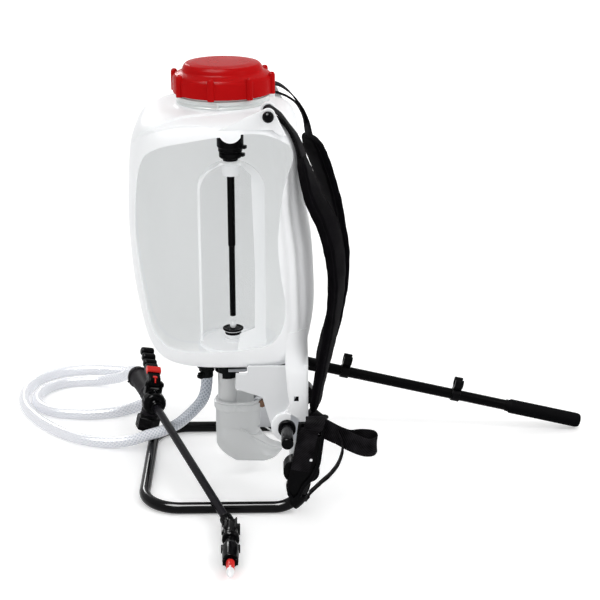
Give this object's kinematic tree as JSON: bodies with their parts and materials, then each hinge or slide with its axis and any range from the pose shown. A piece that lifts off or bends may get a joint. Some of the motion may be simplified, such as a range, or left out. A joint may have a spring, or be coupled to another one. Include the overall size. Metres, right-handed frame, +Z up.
{
  "type": "backpack sprayer",
  "caption": "Backpack sprayer with a cut-open white tank, red lid, side pump lever, shoulder straps, tube stand, hose and spray lance.",
  "frame": {"origin": "on the floor below the axis of the tank's lid", "axes": "+X towards the wearer's back, +Y towards the pump lever's side, +Z up"},
  "size_m": [0.8293, 0.6585, 0.5605],
  "materials": {
    "white_tank": "satin",
    "clear_plastic": "satin",
    "red_plastic": "satin",
    "black_plastic": "satin",
    "black_tube": "gloss",
    "steel": "satin",
    "copper": "satin",
    "rubber": "matte",
    "padding": "matte",
    "webbing": "matte",
    "hose_plastic": "gloss",
    "white_plastic": "satin"
  },
  "bodies": {
    "sprayer": {"tank_shell": "white_tank", "filler_neck": "white_tank", "skirt_panel": "white_tank", "filler_strainer": "black_plastic", "strap_pins": "black_plastic", "pressure_vessel": "clear_plastic", "vessel_bushing": "clear_plastic", "lock_ring": "black_plastic", "relief_valve": "black_plastic", "dip_tube": "black_plastic", "valve_seat": "white_plastic", "seat_ring": "rubber", "pump_head": "black_plastic", "head_tab": "clear_plastic", "outlet_elbow": "black_plastic", "hose_clamp": "steel", "piston_tube": "clear_plastic", "piston_seal": "rubber", "shaft_bushings": "black_plastic", "base_frame": "black_tube", "frame_brackets": "black_plastic", "near_pad": "padding", "far_pad": "padding", "near_upper_web": "webbing", "far_upper_web": "webbing", "near_lower_web": "webbing", "far_lower_web": "webbing", "near_hook": "black_plastic", "far_hook": "black_plastic", "web_tail": "webbing", "hose": "hose_plastic", "hose_nut": "black_plastic", "gun_body": "black_plastic", "trigger_pin": "steel", "valve_cap": "black_plastic", "wand_nut": "black_plastic", "wand_tube": "black_tube", "nozzle_elbow": "black_plastic", "nozzle_nut": "red_plastic", "nozzle_tip": "red_plastic"},
    "gasket": {"lid_gasket": "rubber"},
    "lid": {"lid": "red_plastic"},
    "lever": {"pump_shaft": "steel", "shaft_cap": "black_plastic", "crank_arm": "steel", "crank_pin": "copper", "lever_hub": "black_plastic", "lever_tube": "black_tube", "lever_grip": "rubber", "lance_clips": "black_plastic"},
    "cylinder": {"pump_cylinder": "clear_plastic", "slot_bracket": "steel"},
    "inlet": {"inlet_ball": "steel"},
    "outlet": {"valve_disc": "black_plastic", "valve_knob": "white_plastic"},
    "trigger": {"trigger_lever": "black_plastic"},
    "lock": {"trigger_lock": "red_plastic"},
    "stem": {"valve_stem": "steel"},
    "nozzle": {"nozzle_cap": "black_plastic"}
  },
  "joints": [
    {"name": "lid_lift", "type": "slide", "parent": "sprayer", "child": "gasket", "axis": [0, 0, 1], "range_m": [0, 0.06]},
    {"name": "lid_turn", "type": "hinge", "parent": "gasket", "child": "lid", "pos_m": [0, 0, 0.53], "axis": [0, 0, 1], "range_deg": [0, 270]},
    {"name": "pump_lever", "type": "hinge", "parent": "sprayer", "child": "lever", "pos_m": [0.077, 0, 0.112], "axis": [0, -1, 0], "range_deg": [0, 35]},
    {"name": "pump_stroke", "type": "slide", "parent": "sprayer", "child": "cylinder", "axis": [0, 0, -1], "range_m": [0, 0.0168]},
    {"name": "inlet_ball_lift", "type": "slide", "parent": "cylinder", "child": "inlet", "axis": [0, 0, 1], "range_m": [0, 0.003]},
    {"name": "outlet_valve_lift", "type": "slide", "parent": "sprayer", "child": "outlet", "axis": [0, 0, 1], "range_m": [0, 0.0025]},
    {"name": "trigger_squeeze", "type": "hinge", "parent": "sprayer", "child": "trigger", "pos_m": [-0.10749, 0.1048, 0.08235], "axis": [-0.9318, -0.2849, 0.225], "range_deg": [0, 10], "stiffness_Nm_per_rad": 1, "springref_deg": -17.19},
    {"name": "trigger_lock_slide", "type": "slide", "parent": "trigger", "child": "lock", "axis": [0.2012, -0.9211, -0.3333], "range_m": [0, 0.005]},
    {"name": "valve_stem_push", "type": "slide", "parent": "sprayer", "child": "stem", "axis": [-0.2151, -0.0658, -0.9744], "range_m": [0, 0.0045]},
    {"name": "nozzle_cap_turn", "type": "hinge", "parent": "sprayer", "child": "nozzle", "pos_m": [0.006, -0.181, 0.013], "axis": [0.014, -0.9998, -0.0105], "range_deg": [-180, 180]}
  ],
  "couplings": [
    {"joint": "pump_stroke", "follows": "pump_lever", "m_per_rad": 0.0274},
    {"joint": "valve_stem_push", "follows": "trigger_squeeze", "m_per_rad": 0.025}
  ]
}
